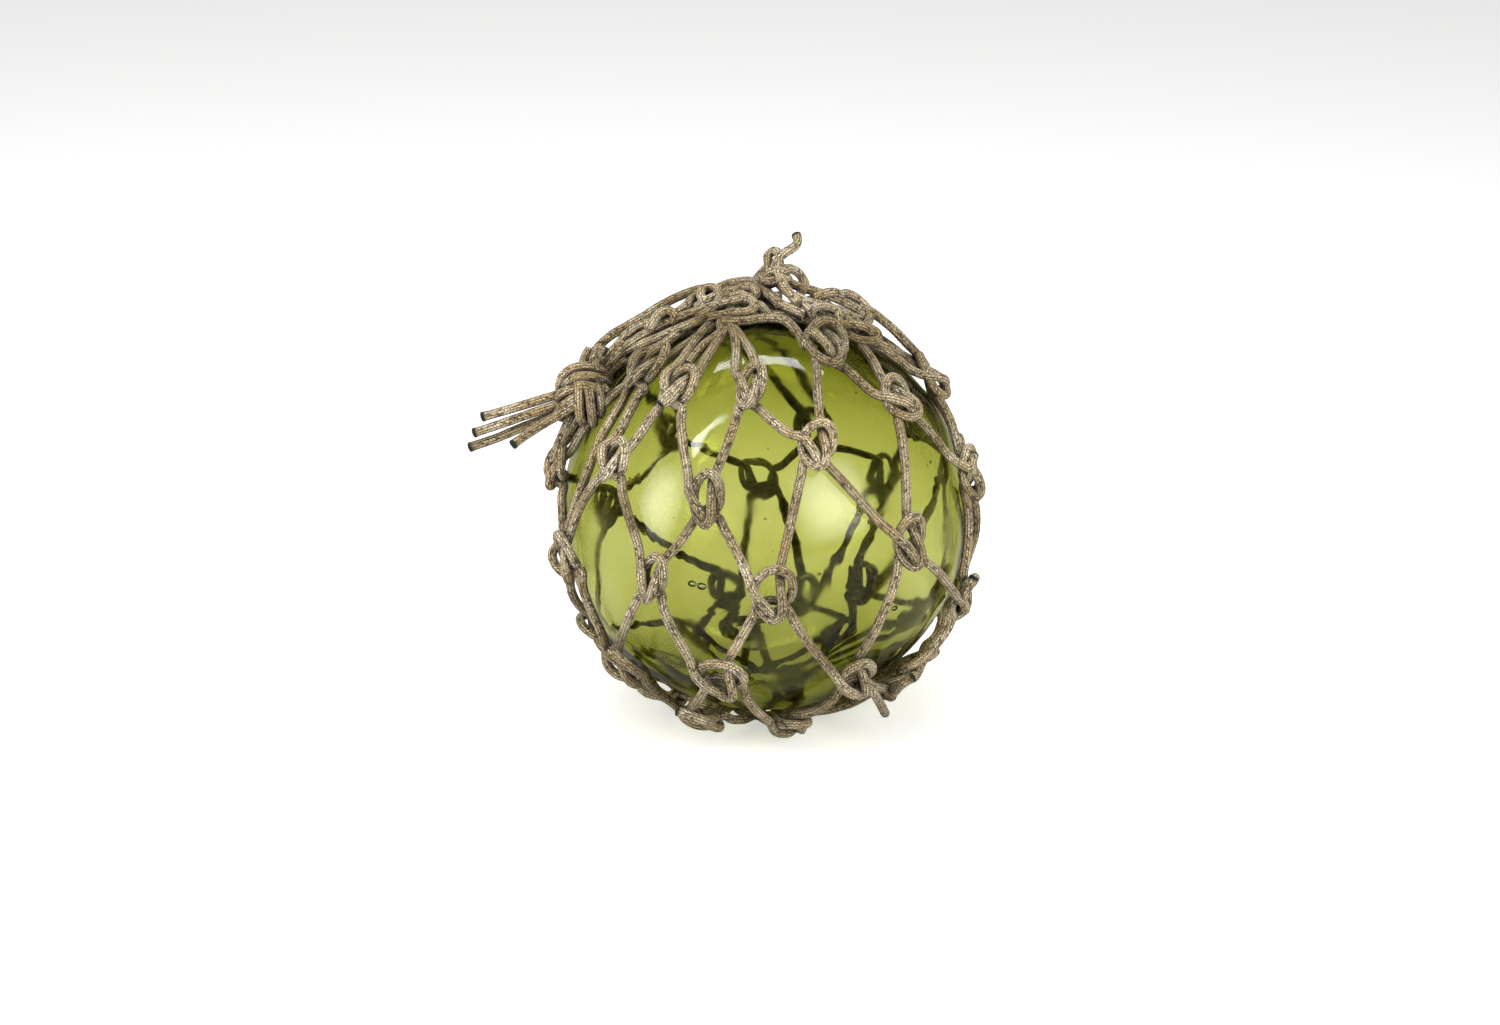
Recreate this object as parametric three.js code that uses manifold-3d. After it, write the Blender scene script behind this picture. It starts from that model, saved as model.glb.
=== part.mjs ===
// Glass float ball in a knotted cord net, with a bunch of cord ends tied on its left shoulder.
// Millimetres, +Z up, the front towards -Y. The origin is the middle of the underside.
//
// Eighteen cords make the net. Nine fall to the right and nine fall to the left, from the ring at the crown
// to the draw cord under the ball. Where two cords meet, the left-falling one takes a full turn round the
// right-falling one, which leaves the round open loop on top of every knot.
import * as THREE from 'three';
import Module from 'manifold-3d';
import { mergeVertices } from 'three/addons/utils/BufferGeometryUtils.js';

const wasm = await Module();
wasm.setup();

// Driving dimensions
const GLASS_DIAMETER = 200;
const GLASS_HEIGHT = 195.5;
const CORD = 4.6; // diameter of every cord
const FIT_GAP = 0.3; // air between pieces that touch
const COLUMNS = 9; // meshes round the ball
const CROWN_RING_RADIUS = 8.5; // middle of the cord ring that the first meshes hang from
const CROWN_RING_LIFT = 0.65; // its middle above the glass, in cord diameters
const FOOT_RING_RADIUS = 14.5; // middle of the draw cord under the ball

// Faceting
const CORD_SIDES = 4;
const TAIL_SIDES = 8;
const BALL_SEGMENTS = 28;
const BALL_RINGS = 14;
const LOOP_SEGMENTS = 12; // the crown ring and the bunch's wraps
const FOOT_SEGMENTS = 20;

// The net hangs askew: its pole leans to the left and a little to the front
const NET_LEAN = THREE.MathUtils.degToRad(-9.7);
const NET_NOD = THREE.MathUtils.degToRad(1.3);
const CROWN_PLACE = { round: -137, up: 81 };

// Rows of knots from the shoulder down. Angles in degrees: up is above the net's equator, shift is where
// the first column sits, in columns. Lifts are in cord diameters above the glass: knot is the middle of a
// knot, above is the slack cord that comes down to it. Front holds the hand-tied places [round, up] of the
// columns that are out of the regular pattern, by column number.
const ROWS = [
  { up: 59, shift: 0, twist: 6.7, knot: 1.45, above: 1.1,
    front: { 0: [-72, 63], 1: [-34, 61], 2: [7, 59], 3: [66, 61], 4: [92, 55] } },
  { up: 29.5, shift: -0.5, twist: 1.5, knot: 1.45, above: 1.1,
    front: { 0: [-89, 23], 1: [-52, 34], 2: [-13, 25], 3: [26, 35], 4: [68, 35], 5: [98, 28] } },
  { up: 0.3, shift: 0, twist: -1, knot: 1.45, above: 1.1,
    front: { 0: [-78, 0], 1: [-33, 4], 2: [2, -4], 3: [46, -1], 4: [88, 1] } },
  { up: -31.3, shift: -0.5, twist: -3, knot: 1.7, above: 1.9,
    front: { 1: [-65, -32], 2: [-22, -34], 3: [29, -47], 4: [73, -30] } },
  { up: -52.5, shift: 0, twist: -4.3, knot: 1.9, above: 2.0,
    front: { 1: [-44, -52], 2: [-3, -62], 3: [50, -53] } },
];
// Section of the draw cord, flat below: [out, up] in cord radii, from the middle of its underside
const FOOT_SECTION = [
  [-0.65, 0], [0.65, 0], [1, 0.75], [0.8, 1.65], [0, 2], [-0.8, 1.65], [-1, 0.75], [-0.65, 0],
];
const FOOT_SLACK = 1.25; // lift of the cords between the last knots and the draw cord
const UNEVEN_ROUND = 2.2; // how far the knots at the back stray, degrees
const UNEVEN_UP = 1.8;

// One knot, flat: [right, up, out] in cord diameters from its middle
const RIGHT_FALL = [[-3.1, 2.1, 1.1], [-1.2, -1.2, 1.2], [0.7, -1.6, -0.5]];
const LEFT_FALL = [
  [1.0, 3.6, -0.6], [1.2, -0.4, 0.75], [-0.2, -2.9, 0.75], [-2.6, -0.5, 0.2], [-1.2, 2.9, 0.45],
  [1.9, 2.9, 1.0], [2.4, 0.4, -0.35], [-2.9, -0.6, -0.85],
];

// Loose cords on the crown and the shoulder: [round, up, lift] with the lift in cord diameters
const DOUBLED_CORD = [
  [-87, 40, 2.4], [-89, 50, 2.2], [-88, 63, 2.0], [-92, 77, 1.9], [-140, 84, 1.8],
  [-86, 86, 1.5], [-76, 79, 1.4], [-79, 66, 1.4], [-78, 55, 1.6], [-82, 43, 2.0],
];
const THIRD_CORD = [[-88, 38, 2.0], [-86, 53, 1.1], [-77, 68, 0.9], [-90, 79, 0.9], [-120, 79, 0.9]];
const SLACK_ARC = [
  [-103, 36, 2.9], [-107, 44, 3.3], [-110, 53, 3.0], [-125, 58, 3.4], [-144, 66, 3.4], [-152, 70, 2.2],
];
const CROWN_ARCH = [[-128, 62, 1.5], [-147, 67, 2.4], [-170, 70, 2.9], [170, 71, 3.3]];
const KNOT_STEM = [[-137, 78, 0.9], [-170, 78, 2.6], [175, 73, 4.2], [174, 73.5, 5.9]];
const UPRIGHT_END = [[175, 73, 3.4], [167, 69.5, 5.6], [161, 69, 7.2], [162, 69, 8.4]];
const SMALL_LOOP = [[166, 73, 4.4], [155, 68.5, 4.2], [152, 66, 2.6], [156, 70, 2.0]];
const SHOULDER_BIGHT = [
  [170, 73, 3.6], [156, 73, 3.0], [130, 72, 2.3], [124, 66, 2.3],
  [112, 62, 2.1], [102, 66, 1.9], [105, 76, 1.9], [150, 80, 2.3],
];
const FAR_RING = [
  [140, 70, 2.2], [139, 64, 2.7], [128, 59, 3.1], [115, 57, 2.5], [105, 60, 1.7], [112, 66, 1.9],
];
const FAR_SLACK = [[126, 60, 2.9], [122, 55, 2.8], [100, 49, 2.6], [107, 40, 1.7], [100, 33, 1.3]];

// The bunch knot on the left shoulder. Its own sizes are in cord diameters: [right, up, toward the front]
const BUNCH_PLACE = { round: -81.5, up: 37.5, lift: 3.1 };
const BUNCH_LEAN = THREE.MathUtils.degToRad(-20);
const BUNCH_WRAP_RADIUS = 2.4;
const BUNCH_WRAP_DEPTH = 0.8; // share of the wraps' width
const BUNCH_WRAP_HEIGHTS = [2.1, 0.8];
const BUNCH_LOBE_PLACES = [-1.0, 0.3, 1.5];
const BUNCH_LOBE = [[0, 0.9, 1.0], [0, -2, 1.75], [0, -3.3, 0.2], [0, -0.9, -1.3]];

// The four free ends, in millimetres from the middle of the bunch knot: [right, up, toward the front]
const TAILS = [
  [[-12.5, -4.0, 2.0], [-24, -7.6, 2.2], [-36, -11.2, 2.4], [-48, -14.6, 2.6]],
  [[-12.5, -9.0, 2.6], [-26, -13.5, 2.8], [-40, -18.4, 3.0], [-52, -22.4, 3.2]],
  [[-12.5, -13.4, -0.6], [-27, -18.8, -1.4], [-41, -24.6, -2.4], [-54.5, -29.2, -3.4]],
  [[-6.5, -11.5, 10.6], [-15, -16.6, 11.6], [-24.5, -22.6, 13.0], [-32.5, -28.4, 14.6]],
];

const toRadians = THREE.MathUtils.degToRad;
const cordRadius = CORD / 2;
const netTurn = new THREE.Matrix4()
  .makeRotationX(NET_NOD)
  .multiply(new THREE.Matrix4().makeRotationY(NET_LEAN));

/** A unit vector from the ball's middle: round is measured from the front to the right. */
function direction(round, up) {
  const a = toRadians(round);
  const b = toRadians(up);
  return new THREE.Vector3(Math.cos(b) * Math.sin(a), -Math.cos(b) * Math.cos(a), Math.sin(b));
}

/** A point over the glass along a unit vector, lift given in cord diameters. */
function overGlass(unit, lift) {
  const flat = Math.hypot(unit.x, unit.y) / (GLASS_DIAMETER / 2);
  const tall = unit.z / (GLASS_HEIGHT / 2);
  return unit.clone().multiplyScalar(1 / Math.hypot(flat, tall) + lift * CORD);
}

/** A path whose sections sit exactly on its points, so that each point costs one ring of facets. */
class CordPath extends THREE.CatmullRomCurve3 {
  getPointAt(u, target) {
    return this.getPoint(u, target);
  }

  getTangentAt(u, target) {
    return this.getTangent(u, target);
  }
}

/** A cord of flat sides along a list of points. */
function cordAlong(points, sides = CORD_SIDES) {
  const corners = Array.from({ length: sides }, (_, i) => {
    const angle = (2 * Math.PI * i) / sides;
    return new THREE.Vector2(cordRadius * Math.cos(angle), cordRadius * Math.sin(angle));
  });
  return new THREE.ExtrudeGeometry(new THREE.Shape(corners), {
    steps: points.length - 1,
    extrudePath: new CordPath(points),
    bevelEnabled: false,
  });
}

/** Welds a closed geometry into a solid that can be joined. */
function solid(geometry) {
  const bare = geometry.clone();
  bare.deleteAttribute('normal');
  bare.deleteAttribute('uv');
  const welded = mergeVertices(bare, 1e-4);
  return new wasm.Manifold(new wasm.Mesh({
    numProp: 3,
    vertProperties: new Float32Array(welded.attributes.position.array),
    triVerts: new Uint32Array(welded.index.array),
  }));
}

/** Joins geometries that touch into one geometry. */
function joined(geometries) {
  const mesh = wasm.Manifold.union(geometries.map(solid)).getMesh();
  const geometry = new THREE.BufferGeometry();
  geometry.setAttribute('position', new THREE.BufferAttribute(new Float32Array(mesh.vertProperties), 3));
  geometry.setIndex(new THREE.BufferAttribute(new Uint32Array(mesh.triVerts), 1));
  geometry.computeVertexNormals();
  return geometry;
}

/** The knot of one row and column: its middle direction, and the two directions across it. */
function netKnot(row, column) {
  const spec = ROWS[row];
  const wrapped = ((column % COLUMNS) + COLUMNS) % COLUMNS;
  const stray = Math.sin(5.1 * wrapped + 2.3 * row);
  const regular = [
    ((wrapped + spec.shift - 2) * 360) / COLUMNS + spec.twist + UNEVEN_ROUND * stray,
    spec.up + UNEVEN_UP * Math.cos(3.7 * wrapped + 1.9 * row),
  ];
  const [round, up] = spec.front[wrapped] ?? regular;
  const middle = direction(round, up).applyMatrix4(netTurn);
  const east = direction(round + 90, 0).applyMatrix4(netTurn);
  return { middle, east, north: middle.clone().cross(east), lift: spec.knot };
}

/** A point of the flat knot laid on the ball. */
function onKnot(knot, [right, up, out]) {
  const bend = CORD / (GLASS_DIAMETER / 2);
  const unit = knot.middle.clone()
    .addScaledVector(knot.east, right * bend)
    .addScaledVector(knot.north, up * bend)
    .normalize();
  return overGlass(unit, knot.lift + out);
}

/** The slack point half way between two places over the glass. */
function between(a, b, lift) {
  return overGlass(a.clone().normalize().add(b.clone().normalize()).normalize(), lift);
}

/** A place on a level ring round a direction, at a radius from it. */
function besideAxis(axis, angle, radius, lift) {
  const east = new THREE.Vector3(0, 1, 0).cross(axis).normalize();
  const north = axis.clone().cross(east);
  const bend = radius / (GLASS_DIAMETER / 2);
  const unit = axis.clone()
    .addScaledVector(east, bend * Math.cos(angle))
    .addScaledVector(north, bend * Math.sin(angle))
    .normalize();
  return overGlass(unit, lift);
}

const crownAxis = direction(CROWN_PLACE.round, CROWN_PLACE.up);
const crownLift = CROWN_RING_LIFT + FIT_GAP / CORD;

/** Where a cord hangs from the crown ring, on the side that faces its first knot. */
function crownEnd(knot) {
  const east = new THREE.Vector3(0, 1, 0).cross(crownAxis).normalize();
  const north = crownAxis.clone().cross(east);
  const angle = Math.atan2(knot.middle.dot(north), knot.middle.dot(east));
  return besideAxis(crownAxis, angle, CROWN_RING_RADIUS, crownLift);
}

/** The underside of the draw cord: just below the lowest knot, and never so high that it meets the glass. */
function footLevel() {
  const heights = [];
  for (let column = 0; column < COLUMNS; column += 1) {
    const knot = netKnot(ROWS.length - 1, column);
    heights.push(...[...RIGHT_FALL, ...LEFT_FALL].map((point) => onKnot(knot, point).z));
  }
  return Math.min(Math.min(...heights) - cordRadius, -GLASS_HEIGHT / 2 - CORD) - FIT_GAP;
}

const floorLevel = footLevel();

/** Where a cord reaches the draw cord under the ball, clear of it by the gap. */
function footEnd(knot) {
  const flat = new THREE.Vector3(knot.middle.x, knot.middle.y, 0).normalize();
  const reach = FOOT_RING_RADIUS + CORD + FIT_GAP;
  return flat.multiplyScalar(reach).setZ(floorLevel + cordRadius + FIT_GAP);
}

/** One cord of the net from the crown to the foot. Step is +0.5 column a row to the right, or -0.5. */
function netCord(firstColumn, step, pattern) {
  let knot = netKnot(0, firstColumn);
  const points = [crownEnd(knot)];
  let place = firstColumn;
  for (let row = 0; row < ROWS.length; row += 1) {
    knot = netKnot(row, Math.round(place - ROWS[row].shift));
    const laid = pattern.map((point) => onKnot(knot, point));
    points.push(between(points[points.length - 1], laid[0], ROWS[row].above), ...laid);
    place += step;
  }
  const end = footEnd(knot);
  points.push(between(points[points.length - 1], end, FOOT_SLACK), end);
  return cordAlong(points);
}

/** A loose cord that follows a list of places over the glass. */
function looseCord(places) {
  return cordAlong(places.map(([round, up, lift]) => overGlass(direction(round, up), lift)));
}

const bunchMiddle = overGlass(direction(BUNCH_PLACE.round, BUNCH_PLACE.up), BUNCH_PLACE.lift);
const bunchTurn = new THREE.Matrix4().makeRotationX(BUNCH_LEAN);

/** A point near the bunch knot: right, up and toward the front from its middle. */
function onBunch([right, up, toward], unit = 1) {
  return new THREE.Vector3(right, -toward, up).multiplyScalar(unit).applyMatrix4(bunchTurn).add(bunchMiddle);
}

/** The bunch knot: level wraps over a row of upright lobes. */
function bunchKnot() {
  const wraps = BUNCH_WRAP_HEIGHTS.map((height) => {
    const ring = new THREE.TorusGeometry(BUNCH_WRAP_RADIUS * CORD, cordRadius, CORD_SIDES, LOOP_SEGMENTS);
    const middle = onBunch([0, height, 0], CORD);
    return ring.scale(1, BUNCH_WRAP_DEPTH, 1).applyMatrix4(bunchTurn).translate(middle.x, middle.y, middle.z);
  });
  const lobes = BUNCH_LOBE_PLACES.map((place) => (
    cordAlong(BUNCH_LOBE.map(([right, up, toward]) => onBunch([right + place, up, toward], CORD)))
  ));
  return [...wraps, ...lobes];
}

/** The whole net with its crown and the bunch, in one piece. */
function netSolid() {
  const cords = [];
  for (let column = 0; column < COLUMNS; column += 1) {
    cords.push(netCord(column, 0.5, RIGHT_FALL), netCord(column, -0.5, LEFT_FALL));
  }
  const ring = Array.from({ length: LOOP_SEGMENTS }, (_, i) => (
    besideAxis(crownAxis, (2 * Math.PI * i) / LOOP_SEGMENTS, CROWN_RING_RADIUS, crownLift)
  ));
  cords.push(cordAlong([...ring, ring[0]]));
  const loose = [DOUBLED_CORD, THIRD_CORD, SLACK_ARC, CROWN_ARCH, KNOT_STEM, UPRIGHT_END, SMALL_LOOP,
    SHOULDER_BIGHT, FAR_RING, FAR_SLACK];
  return joined([...cords, ...loose.map(looseCord), ...bunchKnot()]);
}

/** The glass ball, a little flatter than it is wide. */
function ballSolid() {
  const profile = Array.from({ length: BALL_RINGS + 1 }, (_, i) => {
    const angle = Math.PI * (i / BALL_RINGS - 0.5);
    return new THREE.Vector2(
      i === 0 || i === BALL_RINGS ? 0 : (GLASS_DIAMETER / 2) * Math.cos(angle),
      (GLASS_HEIGHT / 2) * Math.sin(angle),
    );
  });
  return new THREE.LatheGeometry(profile, BALL_SEGMENTS).rotateX(Math.PI / 2);
}

/** The draw cord under the ball, pressed flat where it stands. */
function footSolid() {
  const profile = FOOT_SECTION.map(([out, up]) => (
    new THREE.Vector2(FOOT_RING_RADIUS + out * cordRadius, floorLevel + up * cordRadius)
  ));
  return new THREE.LatheGeometry(profile, FOOT_SEGMENTS).rotateX(Math.PI / 2);
}

const glass = new THREE.MeshStandardMaterial({
  color: 0x8c9a2b, roughness: 0.05, transparent: true, opacity: 0.55,
});
const cordCotton = new THREE.MeshStandardMaterial({ color: 0x8f7f62, roughness: 0.9 });

const part = new THREE.Group();
const float = new THREE.Group();
part.add(float);

/** Adds one named piece to the float. */
function addPiece(name, geometry, material) {
  const mesh = new THREE.Mesh(geometry, material);
  mesh.name = name;
  float.add(mesh);
}

addPiece('glass_ball', ballSolid(), glass);
addPiece('net', netSolid(), cordCotton);
addPiece('foot_cord', footSolid(), cordCotton);
TAILS.forEach((route, i) => {
  addPiece(`tail_${i + 1}`, cordAlong(route.map((point) => onBunch(point)), TAIL_SIDES), cordCotton);
});

// The origin is the middle of the underside of what the float's own pieces fill, the free tails left out
const ownPieces = new THREE.Box3();
for (const mesh of float.children.filter((piece) => !piece.name.startsWith('tail_'))) {
  ownPieces.expandByObject(mesh);
}
const middle = ownPieces.getCenter(new THREE.Vector3());
float.position.set(-middle.x, -middle.y, -ownPieces.min.z);

export default part;
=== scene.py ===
"""Glass float ball in its knotted cord net: blown olive glass, weathered braided cord."""

from __future__ import annotations

import logging
import math
import random
from dataclasses import dataclass, field
from enum import Enum

import bmesh
import bpy
import numpy as np
from mathutils import Matrix, Vector, noise


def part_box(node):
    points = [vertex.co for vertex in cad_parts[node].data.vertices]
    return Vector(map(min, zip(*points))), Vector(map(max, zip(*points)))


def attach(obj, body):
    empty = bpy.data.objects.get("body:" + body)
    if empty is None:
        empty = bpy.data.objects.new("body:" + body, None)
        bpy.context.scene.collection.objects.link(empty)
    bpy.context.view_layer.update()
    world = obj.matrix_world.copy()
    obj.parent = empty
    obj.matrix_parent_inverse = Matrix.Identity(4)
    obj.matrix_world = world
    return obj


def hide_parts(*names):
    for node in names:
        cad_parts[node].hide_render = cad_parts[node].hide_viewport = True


LOG = logging.getLogger("glass_float")
MM = 0.001
CORD = 4.6 * MM
Route = list[tuple[float, float, float]]


# Shared line work


def smooth_line(points: np.ndarray, step: float) -> np.ndarray:
    """Draws one smooth curve through points and cuts it into equal steps.

    Args:
        points: The points that the curve passes through, one a row, in metres.
        step: The wanted distance between two points of the result, in metres.

    Returns:
        The points of the curve, ends included.
    """
    ends = [2 * points[0] - points[1]], [2 * points[-1] - points[-2]]
    p = np.vstack([ends[0], points, ends[1]])
    t = np.concatenate([[0.0], np.cumsum(np.sqrt(np.linalg.norm(np.diff(p, axis=0), axis=1)) + 1e-9)])
    drawn = []
    for i in range(1, len(p) - 2):
        count = max(4, int(np.linalg.norm(p[i + 1] - p[i]) / step * 2))
        s = (t[i] + (t[i + 1] - t[i]) * np.arange(count) / count)[:, None]
        a1 = (p[i - 1] * (t[i] - s) + p[i] * (s - t[i - 1])) / (t[i] - t[i - 1])
        a2 = (p[i] * (t[i + 1] - s) + p[i + 1] * (s - t[i])) / (t[i + 1] - t[i])
        a3 = (p[i + 1] * (t[i + 2] - s) + p[i + 2] * (s - t[i + 1])) / (t[i + 2] - t[i + 1])
        b1 = (a1 * (t[i + 1] - s) + a2 * (s - t[i - 1])) / (t[i + 1] - t[i - 1])
        b2 = (a2 * (t[i + 2] - s) + a3 * (s - t[i])) / (t[i + 2] - t[i])
        drawn.append((b1 * (t[i + 1] - s) + b2 * (s - t[i])) / (t[i + 1] - t[i]))
    line = np.vstack([*drawn, p[-2:-1]])
    run = np.concatenate([[0.0], np.cumsum(np.linalg.norm(np.diff(line, axis=0), axis=1))])
    places = np.linspace(0.0, run[-1], max(3, int(run[-1] / step) + 1))
    return np.stack([np.interp(places, run, line[:, k]) for k in range(3)], axis=1)


def unit(vector: np.ndarray) -> np.ndarray:
    """A vector at length one."""
    return vector / np.linalg.norm(vector)


def compass(round_deg: float, up_deg: float) -> np.ndarray:
    """The unit vector at an angle round from the front to the right, and an angle up."""
    a = math.radians(round_deg)
    b = math.radians(up_deg)
    return np.array([math.cos(b) * math.sin(a), -math.cos(b) * math.cos(a), math.sin(b)])


def smooth_step(value: float, low: float, high: float) -> float:
    """Eases from 0 to 1 while a value goes from low to high."""
    t = max(0.0, min(1.0, (value - low) / (high - low)))
    return t * t * (3 - 2 * t)


@dataclass(frozen=True)
class Ball:
    """The glass ball's outside, a little flatter than it is wide."""

    middle: np.ndarray
    radius: float
    half_height: float

    @classmethod
    def from_frame(cls) -> Ball:
        """Takes the ball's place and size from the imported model."""
        low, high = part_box("glass_ball")
        half = (high - low) / 2
        return cls(np.array((low + high) / 2), max(half.x, half.y), half.z)

    def over(self, direction: np.ndarray, lift: float) -> np.ndarray:
        """A point over the glass.

        Args:
            direction: Any vector from the ball's middle.
            lift: The height over the glass, in cord diameters.

        Returns:
            The point, in metres.
        """
        u = unit(direction)
        reach = 1 / math.hypot(math.hypot(u[0], u[1]) / self.radius, u[2] / self.half_height)
        return self.middle + u * (reach + lift * CORD)

    def lift_of(self, point: np.ndarray) -> float:
        """How far a point is over the glass, in cord diameters."""
        away = point - self.middle
        surface = self.over(away, 0.0) - self.middle
        return float((np.linalg.norm(away) - np.linalg.norm(surface)) / CORD)


# Finishes


class Nodes:
    """Small helper that adds and joins nodes in one tree."""

    def __init__(self, tree: bpy.types.NodeTree) -> None:
        """Keeps the tree."""
        self.tree = tree

    def add(self, kind: str, **settings: object) -> bpy.types.Node:
        """Adds a node and sets its properties."""
        node = self.tree.nodes.new(kind)
        for key, value in settings.items():
            setattr(node, key, value)
        return node

    def fill(self, node: bpy.types.Node, **values: object) -> None:
        """Sets inputs of a node, each named with _ for a space."""
        for label, value in values.items():
            node.inputs[label.replace("_", " ")].default_value = value

    def mirrored(self) -> bpy.types.NodeSocket:
        """One for a ray that a surface mirrored, and nothing for one seen straight or through the glass."""
        ray = self.add("ShaderNodeLightPath").outputs
        return self.math("SUBTRACT", ray["Is Glossy Ray"], ray["Is Transmission Ray"], clamp=True)

    def link(self, source: bpy.types.NodeSocket, target: bpy.types.NodeSocket) -> None:
        """Joins two sockets."""
        self.tree.links.new(source, target)

    def math(self, operation: str, *values: object, clamp: bool = False) -> bpy.types.NodeSocket:
        """Adds one sum.

        Args:
            operation: The name of the sum, such as ADD.
            values: Sockets or plain numbers, in order.
            clamp: Whether the result is kept from 0 to 1.

        Returns:
            The socket with the result.
        """
        node = self.add("ShaderNodeMath", operation=operation, use_clamp=clamp)
        for socket, value in zip(node.inputs, values):
            if isinstance(value, bpy.types.NodeSocket):
                self.link(value, socket)
            else:
                socket.default_value = value
        return node.outputs[0]

    def mix(self, amount: object, a: object, b: object, blend: str = "MIX") -> bpy.types.NodeSocket:
        """Mixes two colours, each a socket or a plain colour."""
        node = self.add("ShaderNodeMix", data_type="RGBA", blend_type=blend)
        for socket, value in ((node.inputs[0], amount), (node.inputs[6], a), (node.inputs[7], b)):
            if isinstance(value, bpy.types.NodeSocket):
                self.link(value, socket)
            elif isinstance(value, tuple):
                socket.default_value = (*value, 1.0)
            else:
                socket.default_value = value
        return node.outputs[2]

    def span(self, value: bpy.types.NodeSocket, low: float, high: float, to_low: float = 0.0,
             to_high: float = 1.0) -> bpy.types.NodeSocket:
        """Maps a range of a value onto another range, kept inside it."""
        node = self.add("ShaderNodeMapRange")
        self.link(value, node.inputs[0])
        for socket, number in zip(node.inputs[1:5], (low, high, to_low, to_high)):
            socket.default_value = number
        return node.outputs[0]

    def arch(self, value: bpy.types.NodeSocket, power: float, clamp: bool = False) -> bpy.types.NodeSocket:
        """One in the middle of the way from 0 to 1, and nothing at both ends."""
        off = self.math("ABSOLUTE", self.math("MULTIPLY_ADD", value, 2.0, -1.0))
        return self.math("SUBTRACT", 1.0, self.math("POWER", off, power), clamp=clamp)

    def noise(self, vector: bpy.types.NodeSocket, scale: float, detail: float = 3.0,
              rough: float = 0.55) -> bpy.types.NodeSocket:
        """A soft noise, from about 0 to 1."""
        node = self.add("ShaderNodeTexNoise")
        self.link(vector, node.inputs["Vector"])
        self.fill(node, Scale=scale, Detail=detail, Roughness=rough)
        return node.outputs["Fac"]


def new_material(name: str) -> tuple[bpy.types.Material, Nodes]:
    """A material without nodes, and a helper for its tree."""
    material = bpy.data.materials.new(name)
    material.use_nodes = True
    material.node_tree.nodes.clear()
    return material, Nodes(material.node_tree)


def put(name: str, data: bpy.types.ID) -> bpy.types.Object:
    """Puts a new object into the scene."""
    made = bpy.data.objects.new(name, data)
    bpy.context.scene.collection.objects.link(made)
    return made


def new_group(name: str, takes: dict[str, float], gives: tuple[str, ...]) -> tuple[bpy.types.NodeTree, Nodes]:
    """Starts a shader node group.

    Args:
        name: The group's name.
        takes: Its inputs with their first values.
        gives: Its outputs, each one number.

    Returns:
        The group and a helper for its tree.
    """
    group = bpy.data.node_groups.new(name, "ShaderNodeTree")
    for label, value in takes.items():
        socket = group.interface.new_socket(label, in_out="INPUT", socket_type="NodeSocketFloat")
        socket.default_value = value
    for label in gives:
        group.interface.new_socket(label, in_out="OUTPUT", socket_type="NodeSocketFloat")
    return group, Nodes(group)


def braid_group() -> bpy.types.NodeTree:
    """The stitches of a round braid, by the way along the cord and round it.

    Returns:
        A group that gives the stitch's height, painted shade in the low ground between stitches and one
        number for each stitch.
    """
    takes = {"Along": 0.0, "Turn": 0.0, "Strands": 10.0, "Pitch": 0.0016, "Slant": 0.9}
    group, n = new_group("braid", takes, ("Height", "GapShade", "Stitch"))
    given = n.add("NodeGroupInput").outputs
    out = n.add("NodeGroupOutput")
    across = n.math("MULTIPLY", given["Turn"], given["Strands"])
    column = n.math("FLOOR", across)
    side = n.math("FRACT", across)
    parity = n.math("MODULO", column, 2.0)
    odd = n.math("MULTIPLY", parity, 0.5)
    slope = n.math("MULTIPLY", n.math("MULTIPLY_ADD", parity, 2.0, -1.0), given["Slant"])
    lean = n.math("MULTIPLY", n.math("SUBTRACT", side, 0.5), slope)
    way = n.math("ADD", n.math("ADD", n.math("DIVIDE", given["Along"], given["Pitch"]), odd), lean)
    row = n.math("FLOOR", way)
    run = n.math("FRACT", way)
    rise = n.math("MULTIPLY", n.arch(side, 2.0), n.arch(run, 3.0))
    height = n.math("SQRT", n.math("MAXIMUM", rise, 0.0))
    where = n.add("ShaderNodeCombineXYZ")
    n.link(n.math("MODULO", column, given["Strands"]), where.inputs[0])
    n.link(row, where.inputs[1])
    chance = n.add("ShaderNodeTexWhiteNoise", noise_dimensions="2D")
    n.link(where.outputs[0], chance.inputs["Vector"])
    n.link(height, out.inputs["Height"])
    # Painted shade: the low ground between stitches is marked for darkening
    n.link(n.span(height, 0.5, 0.9, 1.0, 0.0), out.inputs["GapShade"])
    n.link(chance.outputs["Value"], out.inputs["Stitch"])
    return group


def grime_group() -> bpy.types.NodeTree:
    """Patches of dirt over the whole object.

    Returns:
        A group with two masks from clean to dirty, the first in large clouds and the second in small patches.
    """
    takes = {"Scale": 28.0, "Middle": 0.5, "Reach": 0.16}
    group, n = new_group("grime", takes, ("Dirt", "Patch"))
    given = n.add("NodeGroupInput").outputs
    out = n.add("NodeGroupOutput")
    place = n.add("ShaderNodeTexCoord").outputs["Object"]
    cloud = n.add("ShaderNodeTexNoise")
    n.link(place, cloud.inputs["Vector"])
    n.link(given["Scale"], cloud.inputs["Scale"])
    n.fill(cloud, Detail=4.0)
    low = n.math("SUBTRACT", given["Middle"], given["Reach"])
    high = n.math("ADD", given["Middle"], given["Reach"])
    node = n.add("ShaderNodeMapRange")
    for socket, value in zip(node.inputs[:3], (cloud.outputs["Fac"], low, high)):
        n.link(value, socket)
    n.link(node.outputs[0], out.inputs["Dirt"])
    n.link(n.noise(place, 95.0, 2.0), out.inputs["Patch"])
    return group


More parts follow.
